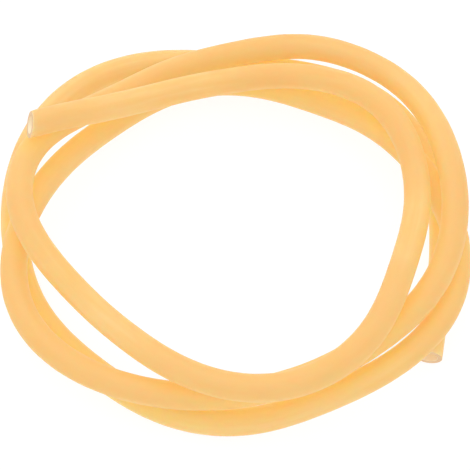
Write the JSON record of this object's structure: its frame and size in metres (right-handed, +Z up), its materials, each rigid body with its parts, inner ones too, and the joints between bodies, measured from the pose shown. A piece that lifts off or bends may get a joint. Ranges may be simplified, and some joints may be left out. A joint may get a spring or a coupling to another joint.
{
  "type": "rubber tubing coil",
  "caption": "Length of soft natural rubber laboratory tube, open at both cut ends and loosely coiled on itself to lie on a bench.",
  "frame": {"origin": "on the bench, under the middle of the coil", "axes": "+Z up from the bench, +X along the coil's longest side"},
  "size_m": [0.1064, 0.1001, 0.0233],
  "materials": {
    "natural_rubber": "matt translucent amber natural rubber"
  },
  "bodies": {
    "root": {"rubber_tube": "natural_rubber"}
  },
  "joints": []
}
